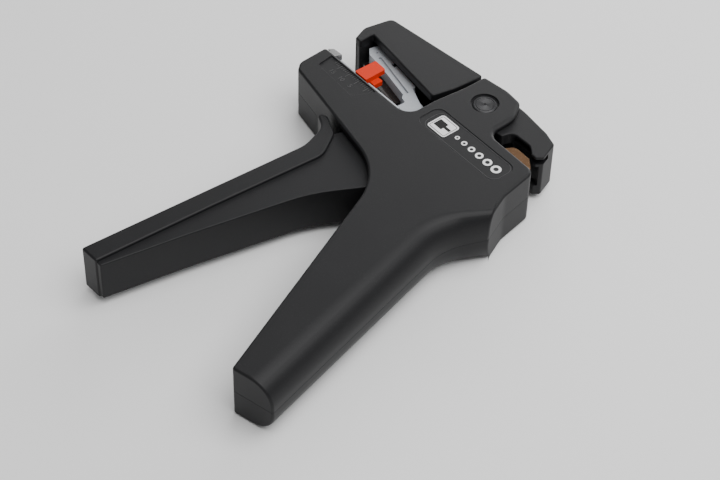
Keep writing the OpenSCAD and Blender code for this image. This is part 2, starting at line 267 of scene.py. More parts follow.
def smooth(obj: bpy.types.Object, angle: float = 32) -> None:
    """Shade a piece smooth up to an angle, with flat faces kept flat."""
    select_only(obj)
    bpy.ops.object.shade_smooth_by_angle(angle=math.radians(angle))
    use_modifier(obj, "WEIGHTED_NORMAL", mode="FACE_AREA", weight=50, keep_sharp=True)


def flip_side(obj: bpy.types.Object, centre_z: float) -> None:
    """Mirror a piece to the other side of a plane across Z and turn its faces out again."""
    for vertex in obj.data.vertices:
        vertex.co.z = 2 * centre_z * MM - vertex.co.z
    select_only(obj)
    bpy.ops.object.mode_set(mode="EDIT")
    bpy.ops.mesh.select_all(action="SELECT")
    bpy.ops.mesh.flip_normals()
    bpy.ops.object.mode_set(mode="OBJECT")


def cad_copy(node: str, width: float, segments: int = 2, angle: float = 32) -> bpy.types.Object:
    """Copy a CAD node, clean its mesh and round its edges.

    Args:
        node: the CAD node's name.
        width: the rounding of its edges, in millimetres.
        segments: steps across the rounding.
        angle: the smallest turn that is rounded, in degrees.

    Returns:
        The copy, which stands for the node once it is dressed.
    """
    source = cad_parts[node]
    obj = bpy.data.objects.new(node + "_fine", source.data.copy())
    bpy.context.scene.collection.objects.link(obj)
    obj.data.materials.clear()
    weld(obj)
    select_only(obj)
    bpy.ops.object.mode_set(mode="EDIT")
    bpy.ops.mesh.select_all(action="SELECT")
    bpy.ops.mesh.dissolve_limited(angle_limit=math.radians(0.6))
    bpy.ops.object.mode_set(mode="OBJECT")
    if width:
        bevel(obj, width, segments, angle)
    return obj


# ---------------------------------------------------------------- finishes


class Slot(Enum):
    """The record's material slots."""

    SHELL = "shell_plastic"
    CARRIAGE = "carriage_plastic"
    STOP = "stop_plastic"
    CLAMP = "clamp_metal"
    PIN = "black_metal"
    STEEL = "steel_parts"
    BLADE = "blade_steel"
    SPRING = "spring_steel"
    BRASS = "cutter_brass"


def effect_group(name: str, inputs: dict[str, float], output: str) -> bpy.types.NodeTree:
    """Start a node group with float inputs and one float output.

    Args:
        name: the group's name.
        inputs: the name and default of each input.
        output: the output's name.

    Returns:
        The group, holding its input and output nodes.
    """
    group = bpy.data.node_groups.new(name, "ShaderNodeTree")
    for key, value in inputs.items():
        socket = group.interface.new_socket(key, in_out="INPUT", socket_type="NodeSocketFloat")
        socket.default_value = value
    group.interface.new_socket(output, in_out="OUTPUT", socket_type="NodeSocketFloat")
    group.nodes.new("NodeGroupInput").name = "In"
    group.nodes.new("NodeGroupOutput").name = "Out"
    return group


def grain_group() -> bpy.types.NodeTree:
    """Moulded grain: a sandy height made of two noises."""
    group = effect_group("moulded_grain", {"Scale": 3200.0, "Coarse": 0.4}, "Height")
    nodes, links = group.nodes, group.links
    place = nodes.new("ShaderNodeTexCoord")
    fine, coarse = nodes.new("ShaderNodeTexNoise"), nodes.new("ShaderNodeTexNoise")
    fine.inputs["Detail"].default_value = 2.0
    coarse.inputs["Detail"].default_value = 1.0
    third = nodes.new("ShaderNodeMath")
    third.operation = "MULTIPLY"
    third.inputs[1].default_value = 0.35
    mix = nodes.new("ShaderNodeMix")
    links.new(nodes["In"].outputs["Scale"], fine.inputs["Scale"])
    links.new(nodes["In"].outputs["Scale"], third.inputs[0])
    links.new(third.outputs[0], coarse.inputs["Scale"])
    links.new(place.outputs["Object"], fine.inputs["Vector"])
    links.new(place.outputs["Object"], coarse.inputs["Vector"])
    links.new(nodes["In"].outputs["Coarse"], mix.inputs[0])
    links.new(fine.outputs["Fac"], mix.inputs[2])
    links.new(coarse.outputs["Fac"], mix.inputs[3])
    links.new(mix.outputs[0], nodes["Out"].inputs["Height"])
    return group


def mottle_group() -> bpy.types.NodeTree:
    """Handling marks and dust: a soft mask of broad patches broken up by fine specks."""
    group = effect_group("handling_mottle", {"Scale": 60.0, "Specks": 0.5}, "Mask")
    nodes, links = group.nodes, group.links
    place = nodes.new("ShaderNodeTexCoord")
    patches, specks = nodes.new("ShaderNodeTexNoise"), nodes.new("ShaderNodeTexNoise")
    patches.inputs["Detail"].default_value = 4.0
    specks.inputs["Scale"].default_value = 1900.0
    sharpen = nodes.new("ShaderNodeMapRange")
    sharpen.inputs["From Min"].default_value = 0.56
    sharpen.inputs["From Max"].default_value = 0.74
    mix = nodes.new("ShaderNodeMix")
    links.new(nodes["In"].outputs["Scale"], patches.inputs["Scale"])
    links.new(nodes["In"].outputs["Specks"], mix.inputs[0])
    links.new(place.outputs["Object"], patches.inputs["Vector"])
    links.new(place.outputs["Object"], specks.inputs["Vector"])
    links.new(specks.outputs["Fac"], sharpen.inputs["Value"])
    links.new(patches.outputs["Fac"], mix.inputs[2])
    links.new(sharpen.outputs["Result"], mix.inputs[3])
    links.new(mix.outputs[0], nodes["Out"].inputs["Mask"])
    return group


def brush_group() -> bpy.types.NodeTree:
    """Fine parallel scratches along X, as ground or rolled metal has."""
    group = effect_group("ground_lines", {"Scale": 2600.0}, "Height")
    nodes, links = group.nodes, group.links
    place, stretch = nodes.new("ShaderNodeTexCoord"), nodes.new("ShaderNodeMapping")
    stretch.inputs["Scale"].default_value = (0.03, 1.0, 1.0)
    lines = nodes.new("ShaderNodeTexNoise")
    lines.inputs["Detail"].default_value = 3.0
    links.new(place.outputs["Object"], stretch.inputs["Vector"])
    links.new(stretch.outputs["Vector"], lines.inputs["Vector"])
    links.new(nodes["In"].outputs["Scale"], lines.inputs["Scale"])
    links.new(lines.outputs["Fac"], nodes["Out"].inputs["Height"])
    return group


def turned_group() -> bpy.types.NodeTree:
    """Concentric rings about the Z axis, as a lathe leaves on a pin's end."""
    group = effect_group("turned_rings", {"Scale": 2200.0}, "Height")
    nodes, links = group.nodes, group.links
    place, rings = nodes.new("ShaderNodeTexCoord"), nodes.new("ShaderNodeTexWave")
    rings.wave_type = "RINGS"
    rings.rings_direction = "Z"
    rings.inputs["Distortion"].default_value = 0.6
    rings.inputs["Detail"].default_value = 1.0
    links.new(place.outputs["Object"], rings.inputs["Vector"])
    links.new(nodes["In"].outputs["Scale"], rings.inputs["Scale"])
    links.new(rings.outputs["Fac"], nodes["Out"].inputs["Height"])
    return group


@dataclass(frozen=True)
class Effects:
    """The node groups that the finishes share."""

    grain: bpy.types.NodeTree = field(default_factory=grain_group)
    mottle: bpy.types.NodeTree = field(default_factory=mottle_group)
    brush: bpy.types.NodeTree = field(default_factory=brush_group)
    turned: bpy.types.NodeTree = field(default_factory=turned_group)


@dataclass(frozen=True)
class Finish:
    """One procedural finish: two colours mixed by a mottle, and a relief from one effect."""

    name: str
    slot: Slot
    dark: tuple[float, float, float]
    light: tuple[float, float, float]
    rough: tuple[float, float]
    relief: str
    relief_scale: float
    relief_depth: float
    metallic: float = 0.0
    mottle_scale: float = 60.0
    specks: float = 0.5
    specular: float = 0.5

    def build(self, effects: Effects) -> bpy.types.Material:
        """Make the material's nodes.

        Args:
            effects: the shared node groups.

        Returns:
            The finished material.
        """
        material = bpy.data.materials.new(self.name)
        material.use_nodes = True
        nodes, links = material.node_tree.nodes, material.node_tree.links
        shader = nodes["Principled BSDF"]
        mottle = nodes.new("ShaderNodeGroup")
        mottle.node_tree = effects.mottle
        mottle.inputs["Scale"].default_value = self.mottle_scale
        mottle.inputs["Specks"].default_value = self.specks
        ramp = nodes.new("ShaderNodeValToRGB")
        ramp.color_ramp.elements[0].color = (*self.dark, 1)
        ramp.color_ramp.elements[1].color = (*self.light, 1)
        ramp.color_ramp.elements[0].position = 0.3
        ramp.color_ramp.elements[1].position = 0.8
        spread = nodes.new("ShaderNodeMapRange")
        spread.inputs["To Min"].default_value = self.rough[0]
        spread.inputs["To Max"].default_value = self.rough[1]
        relief = nodes.new("ShaderNodeGroup")
        relief.node_tree = getattr(effects, self.relief)
        relief.inputs["Scale"].default_value = self.relief_scale
        bump = nodes.new("ShaderNodeBump")
        bump.inputs["Distance"].default_value = self.relief_depth * MM
        bump.inputs["Strength"].default_value = 1.0
        links.new(mottle.outputs["Mask"], ramp.inputs["Fac"])
        links.new(mottle.outputs["Mask"], spread.inputs["Value"])
        links.new(ramp.outputs["Color"], shader.inputs["Base Color"])
        links.new(spread.outputs["Result"], shader.inputs["Roughness"])
        links.new(relief.outputs["Height"], bump.inputs["Height"])
        links.new(bump.outputs["Normal"], shader.inputs["Normal"])
        shader.inputs["Metallic"].default_value = self.metallic
        shader.inputs["Specular IOR Level"].default_value = self.specular
        return material


FINISHES = [
    Finish("charcoal_grain", Slot.SHELL, (0.008, 0.008, 0.009), (0.014, 0.014, 0.015), (0.44, 0.54),
           "grain", 3300.0, 0.012, specular=0.25),
    Finish("charcoal_inside", Slot.SHELL, (0.008, 0.008, 0.008), (0.013, 0.013, 0.013), (0.6, 0.7),
           "grain", 2600.0, 0.006, specular=0.2),
    Finish("raised_grey", Slot.SHELL, (0.040, 0.040, 0.041), (0.060, 0.060, 0.062), (0.45, 0.55),
           "grain", 3300.0, 0.006),
    Finish("pale_grey", Slot.CARRIAGE, (0.44, 0.46, 0.49), (0.54, 0.56, 0.59), (0.36, 0.5),
           "grain", 4200.0, 0.004),
    Finish("signal_orange", Slot.STOP, (0.62, 0.024, 0.001), (0.74, 0.036, 0.0015), (0.42, 0.52),
           "grain", 4200.0, 0.003, specular=0.15),
    Finish("blasted_metal", Slot.CLAMP, (0.30, 0.30, 0.30), (0.46, 0.46, 0.46), (0.42, 0.58),
           "grain", 3800.0, 0.008, metallic=0.85),
    Finish("dark_metal", Slot.CLAMP, (0.02, 0.02, 0.021), (0.045, 0.045, 0.046), (0.35, 0.5),
           "grain", 3800.0, 0.006, metallic=0.5),
    Finish("black_turned", Slot.PIN, (0.030, 0.030, 0.032), (0.055, 0.055, 0.058), (0.30, 0.40),
           "turned", 1700.0, 0.012, metallic=0.6),
    Finish("zinc_steel", Slot.STEEL, (0.40, 0.41, 0.42), (0.56, 0.57, 0.58), (0.30, 0.46),
           "brush", 2600.0, 0.006, metallic=1.0),
    Finish("ground_blade", Slot.BLADE, (0.10, 0.085, 0.08), (0.20, 0.18, 0.17), (0.26, 0.42),
           "brush", 3400.0, 0.005, metallic=1.0),
    Finish("spring_wire", Slot.SPRING, (0.34, 0.34, 0.35), (0.46, 0.46, 0.47), (0.24, 0.36),
           "brush", 3000.0, 0.003, metallic=1.0),
    Finish("warm_brass", Slot.BRASS, (0.20, 0.11, 0.055), (0.40, 0.26, 0.16), (0.28, 0.42),
           "brush", 2800.0, 0.006, metallic=0.9),
    Finish("print_white", Slot.CARRIAGE, (0.80, 0.80, 0.80), (0.90, 0.90, 0.90), (0.42, 0.5),
           "grain", 5200.0, 0.002),
]


class Wardrobe:
    """Builds every finish once, and dresses pieces in them."""

    def __init__(self) -> None:
        """Make all the materials."""
        effects = Effects()
        self.finishes = {f.name: f for f in FINISHES}
        self.materials = {f.name: f.build(effects) for f in FINISHES}

    def dress(self, obj: bpy.types.Object, finish: str, body: str, *stands_for: str) -> bpy.types.Object:
        """Give a new piece its finish, its body and the CAD nodes that it stands for.

        Args:
            obj: the piece.
            finish: a finish's name.
            body: the CAD body that it rides on.
            stands_for: names of CAD nodes that it replaces.

        Returns:
            The same piece.
        """
        obj.data.materials.clear()
        obj.data.materials.append(self.materials[finish])
        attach(obj, body)
        if stands_for:
            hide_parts(*stands_for)
        log.info("%s: %d faces on %s", obj.name, len(obj.data.polygons), body)
        return obj

    def repaint(self, node: str, finish: str) -> None:
        """Give a CAD node that stays in view its finish."""
        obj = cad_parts[node]
        obj.data.materials.clear()
        obj.data.materials.append(self.materials[finish])


# ---------------------------------------------------------------- body


@dataclass
class BodyShells:
    """The two shells: head, lower jaw and grip, rounded along the back of the grip."""

    wardrobe: Wardrobe
    thickness: float = 22.0
    wall: float = 2.5
    cheek: float = 1.7
    edge: float = 0.9
    grip_round: float = 9.0
    corners: list[Corner] = field(default_factory=lambda: [
        Corner(-58.7, -25.6, 1.2), Corner(-58.1, -38, 4), Corner(-55.3, -41.1, 2), Corner(3.9, -52, 27),
        Corner(51.38, -161.83), Corner(65.35, -165, 0, 0, (-0.97, -0.25)), Corner(38.1, -51.6, 25, 0, (-1, 0)),
        Corner(43.9, -36.4, 1.4, 1.5, (-0.2, 0.46)), Corner(39.2, -25.6, 12, 1.5), Corner(36.6, -9.8, 3.5, 1),
        Corner(12.7, -9.3, 4.5, 2.2), Corner(12.4, 3, 9, 2.2), Corner(7.4, 10.3, 2.8), Corner(0, 11, 14),
        Corner(-10.9, 9.5, 1.3), Corner(-11, 0), Corner(-12.4, -13, 4), Corner(-12.4, -25.6, 5.5)])
    end_edge: float = 1.4
    posts: list[Point] = field(default_factory=lambda: [
        (-53.2, -37.2), (30, -20), (34, -48), (41.5, -95), (49, -132)])
    scale_panel: list[Corner] = field(default_factory=lambda: [
        Corner(-53.8, -26.7, 0.3), Corner(-52.8, -33.6, 0.6), Corner(-32.4, -34.9, 1.5),
        Corner(-28.5, -26.7, 0.3)])
    label_panel: list[Corner] = field(default_factory=lambda: [
        Corner(-8.6, -13.8, 3.2), Corner(-8.6, -24.8, 3.2), Corner(32, -24.8, 3.2), Corner(32, -13.8, 3.2)])

    @property
    def mid(self) -> float:
        """Height of the plane where the shells meet."""
        return self.thickness / 2

    def shares(self, counts: list[int]) -> list[float]:
        """Share of the small edge rounding at each point of the outline."""
        shares = []
        for i, (corner, count) in enumerate(zip(self.corners, counts)):
            before = self.corners[i - 1].crisp
            shares += [before + (corner.crisp - before) * k / max(1, count) for k in range(count + 1)]
        return shares

    def section(self, height: float, counts: list[int], shares: list[float]) -> list[Point]:
        """The outline at a height, with what both roundings take off."""
        large, small = self.grip_round, self.edge
        rise = max(0.0, height - self.thickness + large)
        depth = large - math.sqrt(max(0.0, large ** 2 - rise ** 2))
        rise = max(0.0, height - self.thickness + small)
        inset = small - math.sqrt(max(0.0, small ** 2 - rise ** 2))
        points = rounded([c.moved(depth) for c in self.corners], counts=counts)
        return [(p[0] + n.x * inset * share, p[1] + n.y * inset * share)
                for p, n, share in zip(points, inward(points), shares)]

    def half(self, name: str) -> bpy.types.Object:
        """Extrude the outline up from the split plane, section by section over the rounded edges."""
        counts = arc_steps(self.corners, 6)
        shares = self.shares(counts)
        fillet = [self.thickness - self.grip_round * (1 - math.sin(math.radians(a))) for a in range(0, 64, 7)]
        crest = [self.thickness - self.edge * (1 - math.sin(math.radians(a))) for a in range(0, 91, 15)]
        heights = [self.mid] + fillet + crest
        sections = [self.section(h, counts, shares) for h in heights]
        if signed_area(sections[0]) < 0:
            sections = [section[::-1] for section in sections]
        size = len(sections[0])
        obj = ring(name, sections[0], self.mid, False)
        bpy.ops.object.mode_set(mode="EDIT")
        bpy.ops.mesh.select_all(action="SELECT")
        for height, section in zip(heights[1:], sections[1:]):
            bpy.ops.mesh.extrude_edges_move()
            mesh = bmesh.from_edit_mesh(obj.data)
            mesh.verts.ensure_lookup_table()
            for vertex, (x, y) in zip(mesh.verts[-size:], section):
                vertex.co = (x * MM, y * MM, height * MM)
            bmesh.update_edit_mesh(obj.data)
        bpy.ops.mesh.edge_face_add()
        bpy.ops.mesh.select_all(action="DESELECT")
        mesh = bmesh.from_edit_mesh(obj.data)
        mesh.verts.ensure_lookup_table()
        for vertex in mesh.verts[:size]:
            vertex.select = True
        mesh.select_flush(True)
        bpy.ops.mesh.edge_face_add()
        bpy.ops.mesh.select_all(action="SELECT")
        bpy.ops.mesh.normals_make_consistent(inside=False)
        bpy.ops.object.mode_set(mode="OBJECT")
        return obj

    def end_plane(self, obj: bpy.types.Object) -> None:
        """Cut the grip off flat at its end and round the edge of the cut."""
        at, way = Vector((43.8, -144.3, 0)) * MM, Vector((4.1, -15.6, 0)).normalized()
        select_only(obj)
        bpy.ops.object.mode_set(mode="EDIT")
        bpy.ops.mesh.select_all(action="SELECT")
        bpy.ops.mesh.bisect(plane_co=at, plane_no=way, clear_outer=True, use_fill=True)
        bpy.ops.mesh.select_all(action="DESELECT")
        bpy.ops.mesh.select_mode(type="EDGE")
        mesh = bmesh.from_edit_mesh(obj.data)
        for edge in mesh.edges:
            ends = [v.co for v in edge.verts]
            flat = all(abs((p - at).dot(way)) < 1e-6 for p in ends)
            edge.select = flat and not all(p.z < (self.mid + 0.01) * MM for p in ends)
        bmesh.update_edit_mesh(obj.data)
        bpy.ops.mesh.bevel(offset=self.end_edge * MM, segments=4, affect="EDGES", clamp_overlap=True)
        bpy.ops.mesh.select_mode(type="VERT")
        bpy.ops.object.mode_set(mode="OBJECT")

    def hollow(self) -> list[bpy.types.Object]:
        """Cutters for the room inside one half and for the openings in its rim."""
        low, top = self.mid - 1, self.thickness - self.wall
        room = prism("room", rounded([
            Corner(-55.8, -28.3, 1), Corner(-55.6, -37, 2.5), Corner(-53.6, -38.8, 1), Corner(4.6, -49.2, 24.5),
            Corner(45.9, -141.4, 1), Corner(53.4, -139.4, 2), Corner(32.6, -52, 18), Corner(39.2, -36.5, 2),
            Corner(36.4, -25.6, 12), Corner(34.1, -12.3, 1), Corner(11.9, -12.3), Corner(9.4, 3, 8),
            Corner(-8.3, 6.5), Corner(-9.8, -13), Corner(-9.8, -28.1, 5)]), low, top)
        cut(room, *[drum("post", at, 3.4, self.mid - 2, self.thickness) for at in self.posts])
        openings = [
            ([Corner(-14, 14), Corner(-14, -10.5), Corner(13.2, -10.5), Corner(17, 14)],
             self.thickness - self.cheek),
            ([Corner(-20, -8), Corner(-20, -29.6), Corner(-5, -29.6), Corner(-5, -8)], top),
            (box_corners(-53.4, -30, -12, -20), top),
            ([Corner(-23, -40), Corner(-24, -58), Corner(0, -66), Corner(12, -84), Corner(20, -112),
              Corner(33, -107, 8), Corner(24, -76, 8), Corner(16, -55), Corner(16, -40)], top),
            (box_corners(12, -14, 34.2, -6), self.thickness - 2.8),
        ]
        cutters = [room]
        for i, (corners, height) in enumerate(openings):
            cutters.append(prism(f"opening_{i}", rounded(corners), low, height))
        return cutters

    def nose_pockets(self) -> list[bpy.types.Object]:
        """Cutters for the seat of the lower clamp jaw."""
        return [prism("seat", rounded(box_corners(-57.2, -30.1, -53.3, -20)), 0.9, self.thickness - 0.9),
                prism("lip", rounded(box_corners(-60, -24.9, -50, -20)), 0.9, self.thickness - 0.9)]

    def build(self) -> None:
        """Make both shells and dress them."""
        right = self.half("right_shell_fine")
        self.end_plane(right)
        left = right.copy()
        left.data = right.data.copy()
        left.name = "left_shell_fine"
        bpy.context.scene.collection.objects.link(left)
        scale = prism("scale_panel", rounded(self.scale_panel), self.thickness - 0.4, self.thickness + 1)
        label = prism("label_panel", rounded(self.label_panel), self.thickness - 0.2, self.thickness + 1)
        cut(right, *self.hollow(), *self.nose_pockets(), scale, label,
            drum("bore", (0, 0), 4.5, 0, 30), drum("recess", (0, 0), 5.1, self.thickness - 0.7, 30, 96))
        cut(left, *self.hollow())
        flip_side(left, self.mid)
        cut(left, *self.nose_pockets(), drum("bore", (0, 0), 4.5, -2, 20),
            *[drum("head", at, 2.5, -1, 2.6, 32) for at in self.posts],
            *[drum("shank", at, 1.4, -1, 12, 24) for at in self.posts])
        for obj in (right, left):
            weld(obj, 0.03)
            bevel(obj, 0.14, 2, 50, clamp=False)
            smooth(obj)
        self.wardrobe.dress(right, "charcoal_grain", "housing", "right_shell")
        self.wardrobe.dress(left, "charcoal_grain", "housing", "left_shell")


@dataclass
class ScalePrint:
    """The raised millimetre scale and its plain numerals on the lower jaw."""

    wardrobe: Wardrobe
    floor_z: float = 21.6
    height: float = 0.05
    line: float = 0.22
    top_y: float = -26.75
    first: int = -50
    last: int = -30
    short_tick: float = 1.7
    long_tick: float = 3.2
    long_at: int = -47
    long_every: int = 5
    number_size: float = 2.6
    number_y: float = -32.6

    def build(self) -> None:
        """Lay the ticks and numerals in the scale panel."""
        ticks = []
        for x in range(self.first, self.last + 1):
            is_long = (x - self.long_at) % self.long_every == 0
            y = self.top_y - (self.long_tick if is_long else self.short_tick)
            ticks.append(prism(f"tick_{x}", rounded(box_corners(
                x - self.line / 2, y, x + self.line / 2, self.top_y)), self.floor_z, self.floor_z + self.height))
        numbers = []
        for text, x in (("15", -47.0), ("10", -42.0), ("5", -37.0)):
            bpy.ops.object.select_all(action="DESELECT")
            bpy.ops.object.text_add()
            number = bpy.context.object
            number.data.body = text
            number.data.align_x = "CENTER"
            number.data.size = self.number_size * MM
            number.data.extrude = self.height / 2 * MM
            bpy.ops.object.convert(target="MESH")
            bpy.ops.transform.translate(
                value=(x * MM, self.number_y * MM, (self.floor_z + self.height / 2) * MM))
            bpy.ops.object.transform_apply(location=True)
            numbers.append(number)
        scale = join(ticks[0], *ticks[1:], *numbers)
        scale.name = "scale_print"
        self.wardrobe.dress(scale, "raised_grey", "housing")


@dataclass
class LabelPrint:
    """The generic label on the body: a wire with a bared end, and a row of wire sizes."""

    wardrobe: Wardrobe
    floor_z: float = 21.8
    height: float = 0.05
    row_y: float = -19.4
    row_radii: tuple[float, ...] = (0.9, 1.1, 1.3, 1.5, 1.7, 1.9)

    def frame_line(self, low: Corner, high: Corner, radius: float) -> bpy.types.Object:
        """A thin rectangular ring that cuts the tile's dark inner frame."""
        line, z0, z1 = 0.28, self.floor_z - 1, self.floor_z + 1
        frame_ring = prism("frame_ring", rounded(box_corners(low.x, low.y, high.x, high.y, radius)), z0, z1)
        cut(frame_ring, prism("frame_eye", rounded(box_corners(
            low.x + line, low.y + line, high.x - line, high.y - line, radius - line)), z0 - 1, z1 + 1))
        return frame_ring

    def build(self) -> None:
        """Lay the tile, the pictogram and the row of wire sizes in the label panel."""
        top = self.floor_z + self.height
        tile = prism("label_tile", rounded(box_corners(-4.6, -23.4, 4.4, -15.4, 1.2)), self.floor_z, top)
        cut(tile, self.frame_line(Corner(-4.1, -22.9), Corner(3.9, -15.9), 0.8))
        self.wardrobe.dress(tile, "print_white", "housing")
        outline = prism("label_outline", rounded(box_corners(-6.3, -24.4, 31.6, -14.2, 3.4)), self.floor_z, top)
        cut(outline, prism("inside", rounded(box_corners(-6.15, -24.25, 31.45, -14.35, 3.25)),
                           self.floor_z - 1, top + 1))
        self.wardrobe.dress(outline, "raised_grey", "housing")
        wire = prism("label_wire", rounded(box_corners(-3.4, -21.2, 0.6, -17.6, 0.3)), top, top + self.height)
        core = prism("label_core", rounded(box_corners(0.5, -20.0, 3.4, -18.8, 0.3)), top, top + self.height)
        pictogram = join(wire, core)
        pictogram.name = "label_pictogram"
        self.wardrobe.dress(pictogram, "charcoal_inside", "housing")
        sizes = []
        for i, radius in enumerate(self.row_radii):
            at = (7.4 + 3.55 * i + 0.1 * i * i, self.row_y)
            disc = drum(f"size_{i}", at, radius, self.floor_z, top, 48)
            cut(disc, drum("eye", at, radius * 0.5, self.floor_z - 1, top + 1, 32))
            sizes.append(disc)
        row = join(sizes[0], *sizes[1:])
        row.name = "label_sizes"
        self.wardrobe.dress(row, "print_white", "housing")


@dataclass
class PivotPin:
    """The turned pin in the head, with a chamfered end and a small centre."""

    wardrobe: Wardrobe
    radius: float = 4.5
    top: float = 21.6

    def build(self) -> None:
        """Spin the pin's profile about its axis."""
        r, t = self.radius, self.top
        profile = [(0, 0), (r, 0), (r, t - 0.5), (r - 0.15, t - 0.2), (r - 0.5, t), (r - 0.9, t),
                   (r - 1.0, t - 0.1), (r - 1.2, t - 0.1), (r - 1.3, t), (0.55, t), (0.4, t - 0.25),
                   (0, t - 0.25)]
        obj = ring("pivot_pin_fine", [(x, 0.001 * i) for i, (x, _) in enumerate(profile)], 0, False)
        for vertex, (x, z) in zip(obj.data.vertices, profile):
            vertex.co = (x * MM, 0, z * MM)
        bpy.ops.object.mode_set(mode="EDIT")
        bpy.ops.mesh.select_all(action="SELECT")
        bpy.ops.mesh.spin(steps=96, angle=math.tau, center=(0, 0, 0), axis=(0, 0, 1))
        bpy.ops.mesh.select_all(action="SELECT")
        bpy.ops.mesh.remove_doubles(threshold=0.001 * MM)
        bpy.ops.mesh.normals_make_consistent(inside=False)
        bpy.ops.object.mode_set(mode="OBJECT")
        smooth(obj, 25)
        self.wardrobe.dress(obj, "black_turned", "housing", "pivot_pin")


@dataclass
class Rocker:
    """The rocking upper jaw: its cover, and the frame whose tail is the cutting hook."""

    wardrobe: Wardrobe
    cover_wall: float = 3.0
    thickness: float = 22.0
    cover: list[Corner] = field(default_factory=lambda: [
        Corner(-56.4, 4, 2.6), Corner(-11.5, 9.3, 0.9), Corner(-12.6, -3), Corner(-14.7, -12.2, 1.4),
        Corner(-53.7, -7.3, 0.6), Corner(-53.4, -13.6, 0.8), Corner(-56.3, -13.6, 0.8), Corner(-58.7, -7.4, 4)])
    frame_side: list[Corner] = field(default_factory=lambda: [
        Corner(-11.2, 8.2, 1), Corner(0, 10.2, 16), Corner(11, 9.9, 4), Corner(23.5, 8.4, 3),
        Corner(29.4, 6.6, 1.4), Corner(32.1, -0.9, 0.9), Corner(30.3, -3.3, 0.9), Corner(28.2, -3.2, 0.9),
        Corner(24.8, -0.6, 4), Corner(15.8, -0.9, 3), Corner(15, -5.2, 1.2), Corner(8.6, -6, 1.5),
        Corner(4.5, -8.2, 3), Corner(-4.5, -8.2, 5), Corner(-8.5, -4.5, 3), Corner(-11.2, -1.2, 0.5)])

    def build_cover(self) -> None:
        """Make the hood over the upper jaw."""
        hood = prism("jaw_cover_fine", rounded(self.cover, 6), 0, self.thickness)
        bevel(hood, 0.8, 4, 60)
        inside = prism("inside", rounded([
            Corner(-56.0, 1.2, 1), Corner(-8, 7), Corner(-8, -20), Corner(-56.0, -20)]),
            self.cover_wall, self.thickness - self.cover_wall)
        holes = [drum("hole", at, 2.5, -1, 2.2, 32) for at in ((-40, 1.8), (-21, 3.6))]
        cut(hood, inside, *holes)
        smooth(hood)
        self.wardrobe.dress(hood, "charcoal_grain", "rocker", "jaw_cover")

    def build_frame(self) -> None:
        """Make the hub, the hook and the flanks that reach under the cover."""
        hook = prism("rocker_frame_fine", rounded(self.frame_side, 6), 2, 20)
        bevel(hook, 0.8, 4, 60)
        flanks = [prism("flank", rounded([Corner(-50, -1, 1), Corner(-50, 1.2, 1), Corner(-10.4, 5.4),
                                          Corner(-10.4, -1)]), z0, z0 + 3.2) for z0 in (3.3, 15.5)]
        add(hook, *flanks)
        low, high = 6.5, 15.5
        rooms = [drum("lever_room", (0, 0), 9, low, high),
                 prism("front_room", rounded([Corner(-20, 12), Corner(-20, -12), Corner(0, -12),
                                              Corner(0, 12)]), low, high),
                 prism("rear_room", rounded([Corner(0, -20), Corner(40, -20), Corner(40, -2.5),
                                             Corner(9.4, -0.8), Corner(0, 0)]), low, high),
                 prism("blade_slot", rounded(box_corners(17, -10, 40, 2.4)), 16.7, 19),
                 drum("bush_seat", (0, 0), 5.6, 1, 21)]
        cut(hook, *rooms)
        smooth(hook)
        self.wardrobe.dress(hook, "charcoal_grain", "rocker", "rocker_frame")

    def build(self) -> None:
        """Make the whole rocker."""
        self.build_cover()
        self.build_frame()


@dataclass
class Trigger:
    """The front grip: a wide ridge and the web behind it."""

    wardrobe: Wardrobe
    ridge: list[Corner] = field(default_factory=lambda: [
        Corner(-35.4, -48.4, 1.2), Corner(-31, -46.7, 2), Corner(-22.5, -50.2, 6), Corner(-16.3, -60, 9),
        Corner(-19.6, -105, 60), Corner(-22.3, -150.8, 0.8), Corner(-30.2, -151.2, 0.8), Corner(-26.8, -100, 90),
        Corner(-24.2, -62, 14), Corner(-27.6, -51.8, 7)])
    web: list[Corner] = field(default_factory=lambda: [
        Corner(-21.6, -45.6, 0.5), Corner(0.6, -45.6, 1), Corner(5, -57.5, 2), Corner(-4.6, -75, 60),
        Corner(-14.5, -120, 90), Corner(-20.3, -150.4, 0.6), Corner(-23, -150.4), Corner(-20.5, -105, 60),
        Corner(-18.5, -62, 9), Corner(-24, -52)])

    def build(self) -> None:
        """Make the ridge and the web as one moulding."""
        ridge = prism("trigger_grip_fine", rounded(self.ridge, 5), 2, 20)
        bevel(ridge, 1.1, 5, 50)
        web = prism("web", rounded(self.web, 5), 3, 19)
        bevel(web, 0.5, 3, 50)
        cut(web, prism("lever_pocket", rounded([Corner(-15, -40), Corner(-19, -78.2), Corner(-8, -78.2),
                                                Corner(1.4, -47), Corner(4, -40)]), 7.55, 14.45))
        add(ridge, web)
        smooth(ridge)
        self.wardrobe.dress(ridge, "charcoal_grain", "trigger", "trigger_grip")


@dataclass(frozen=True)
class Rework:
    """How one CAD node is carried over: its finish, and the rounding of its edges."""

    node: str
    body: str
    finish: str
    width: float
    segments: int = 2


REWORKS = [
    Rework("lower_clamp_jaw", "housing", "blasted_metal", 0.15),
    Rework("stop_rail", "housing", "pale_grey", 0.2),
    Rework("blade_carriage", "carriage", "pale_grey", 0.4, 3),
    Rework("blade_arm", "blade_arm", "pale_grey", 0.3, 3),
    Rework("lower_blade", "carriage", "ground_blade", 0.1),
    Rework("upper_blade", "blade_arm", "ground_blade", 0.1),
    Rework("upper_clamp_jaw", "rocker", "dark_metal", 0.15),
    Rework("length_stop", "length_stop", "signal_orange", 0.25, 3),
    Rework("cutter_blade", "trigger", "warm_brass", 0.12),
    Rework("drive_lever", "trigger", "zinc_steel", 0.2),
    Rework("drawbar", "carriage", "zinc_steel", 0.12),
    Rework("cutter_screws", "trigger", "zinc_steel", 0.1),
    Rework("arm_pin", "carriage", "zinc_steel", 0.15),
]

